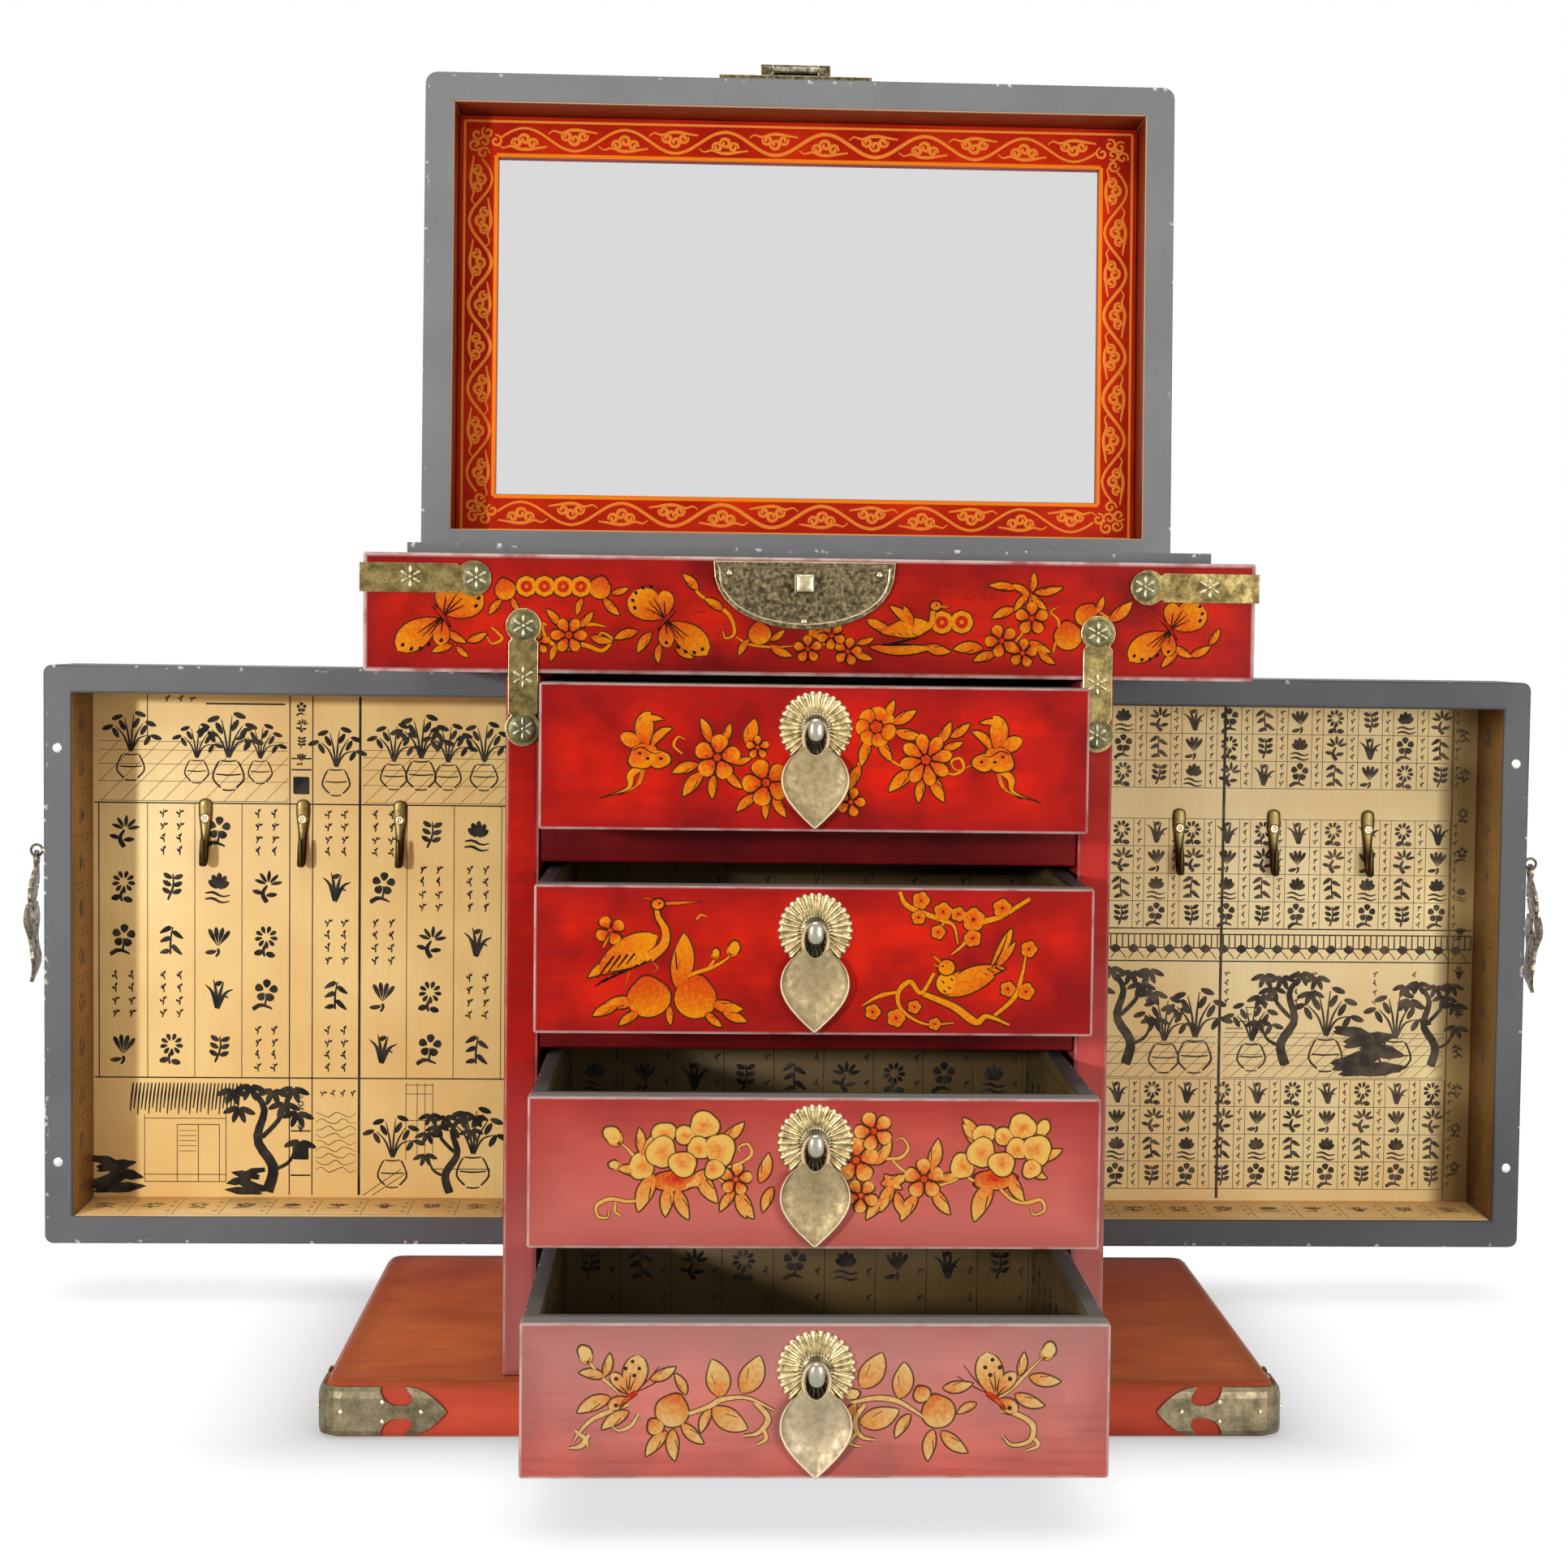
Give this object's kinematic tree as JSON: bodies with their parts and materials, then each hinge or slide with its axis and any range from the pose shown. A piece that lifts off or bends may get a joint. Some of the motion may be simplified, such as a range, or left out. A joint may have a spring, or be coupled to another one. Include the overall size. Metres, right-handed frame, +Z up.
{
  "type": "jewelry cabinet",
  "caption": "Lacquered wood jewelry cabinet with a hinged mirror lid, pull-out drawers and swing-out side trays with necklace hooks, on a wide plinth.",
  "frame": {"origin": "middle of the plinth's underside, which rests on the table", "axes": "+Z up, the front faces -Y, +X to the right as seen from the front, along the longest extent with the doors open"},
  "size_m": [0.668, 0.4079, 0.5391],
  "materials": {
    "red_lacquer": "glossy red lacquer over wood",
    "dark_lacquer": "worn grey-black lacquer",
    "lined_board": "wood lined with printed tan paper",
    "antique_brass": "antiqued brass",
    "mirror_silver": "silvered glass"
  },
  "bodies": {
    "carcase": {"base_plinth": "red_lacquer", "base_corner_left": "antique_brass", "base_corner_right": "antique_brass", "stack_side_left": "red_lacquer", "stack_side_right": "red_lacquer", "stack_back": "dark_lacquer", "divider_1": "red_lacquer", "divider_2": "red_lacquer", "divider_3": "red_lacquer", "case_walls": "red_lacquer", "case_floor": "red_lacquer", "case_liner": "dark_lacquer", "lock_plate": "antique_brass", "case_corner_left": "antique_brass", "case_corner_right": "antique_brass", "stile_strap_left": "antique_brass", "stile_strap_right": "antique_brass", "lid_hinge_left_fixed": "antique_brass", "lid_hinge_right_fixed": "antique_brass", "left_door_hinge_lower_fixed": "antique_brass", "left_door_hinge_upper_fixed": "antique_brass", "right_door_hinge_lower_fixed": "antique_brass", "right_door_hinge_upper_fixed": "antique_brass"},
    "lid": {"lid_walls": "dark_lacquer", "lid_panel": "red_lacquer", "mirror_frame": "red_lacquer", "mirror_glass": "mirror_silver", "lid_plate": "antique_brass", "lid_hinge_left_moving": "antique_brass", "lid_hinge_right_moving": "antique_brass"},
    "hasp": {"hasp": "antique_brass"},
    "left_door": {"left_door_walls": "dark_lacquer", "left_door_panel": "lined_board", "left_handle_eye": "antique_brass", "left_door_hinge_lower_moving": "antique_brass", "left_door_hinge_upper_moving": "antique_brass"},
    "left_handle": {"left_handle": "antique_brass"},
    "right_door": {"right_door_walls": "dark_lacquer", "right_door_panel": "lined_board", "right_handle_eye": "antique_brass", "right_door_hinge_lower_moving": "antique_brass", "right_door_hinge_upper_moving": "antique_brass"},
    "right_handle": {"right_handle": "antique_brass"},
    "drawer_1": {"drawer_1_front": "red_lacquer", "drawer_1_box": "dark_lacquer", "pull_1_plate": "antique_brass"},
    "pull_1": {"pull_1_drop": "antique_brass"},
    "drawer_2": {"drawer_2_front": "red_lacquer", "drawer_2_box": "dark_lacquer", "pull_2_plate": "antique_brass"},
    "pull_2": {"pull_2_drop": "antique_brass"},
    "drawer_3": {"drawer_3_front": "red_lacquer", "drawer_3_box": "dark_lacquer", "pull_3_plate": "antique_brass"},
    "pull_3": {"pull_3_drop": "antique_brass"},
    "drawer_4": {"drawer_4_front": "red_lacquer", "drawer_4_box": "dark_lacquer", "pull_4_plate": "antique_brass"},
    "pull_4": {"pull_4_drop": "antique_brass"}
  },
  "joints": [
    {"name": "lid_hinge", "type": "hinge", "parent": "carcase", "child": "lid", "pos_m": [0, 0.107, 0.3211], "axis": [1, 0, 0], "range_deg": [0, 93.5]},
    {"name": "hasp_hinge", "type": "hinge", "parent": "lid", "child": "hasp", "pos_m": [-0.003, 0.12501, 0.5369], "axis": [1, 0, 0], "range_deg": [0, 180]},
    {"name": "left_door_hinge", "type": "hinge", "parent": "carcase", "child": "left_door", "pos_m": [-0.1108, 0.107, 0.15055], "axis": [0, 0, 1], "range_deg": [-40, 90]},
    {"name": "right_door_hinge", "type": "hinge", "parent": "carcase", "child": "right_door", "pos_m": [0.1108, 0.107, 0.15055], "axis": [0, 0, -1], "range_deg": [-40, 90]},
    {"name": "left_handle_swing", "type": "hinge", "parent": "left_door", "child": "left_handle", "pos_m": [-0.3308, 0.13275, 0.19349], "axis": [0, 1, 0], "range_deg": [0, 85]},
    {"name": "right_handle_swing", "type": "hinge", "parent": "right_door", "child": "right_handle", "pos_m": [0.3308, 0.13275, 0.19349], "axis": [0, -1, 0], "range_deg": [0, 85]},
    {"name": "drawer_1_slide", "type": "slide", "parent": "carcase", "child": "drawer_1", "axis": [0, -1, 0], "range_m": [-0.052, 0.103]},
    {"name": "pull_1_swing", "type": "hinge", "parent": "drawer_1", "child": "pull_1", "pos_m": [0, -0.1598, 0.26323], "axis": [-1, 0, 0], "range_deg": [0, 85]},
    {"name": "drawer_2_slide", "type": "slide", "parent": "carcase", "child": "drawer_2", "axis": [0, -1, 0], "range_m": [-0.074, 0.081]},
    {"name": "pull_2_swing", "type": "hinge", "parent": "drawer_2", "child": "pull_2", "pos_m": [0, -0.1818, 0.19511], "axis": [-1, 0, 0], "range_deg": [0, 85]},
    {"name": "drawer_3_slide", "type": "slide", "parent": "carcase", "child": "drawer_3", "axis": [0, -1, 0], "range_m": [-0.102, 0.053]},
    {"name": "pull_3_swing", "type": "hinge", "parent": "drawer_3", "child": "pull_3", "pos_m": [0, -0.2098, 0.12698], "axis": [-1, 0, 0], "range_deg": [0, 85]},
    {"name": "drawer_4_slide", "type": "slide", "parent": "carcase", "child": "drawer_4", "axis": [0, -1, 0], "range_m": [-0.136, 0.019]},
    {"name": "pull_4_swing", "type": "hinge", "parent": "drawer_4", "child": "pull_4", "pos_m": [0, -0.2438, 0.05886], "axis": [-1, 0, 0], "range_deg": [0, 85]}
  ]
}
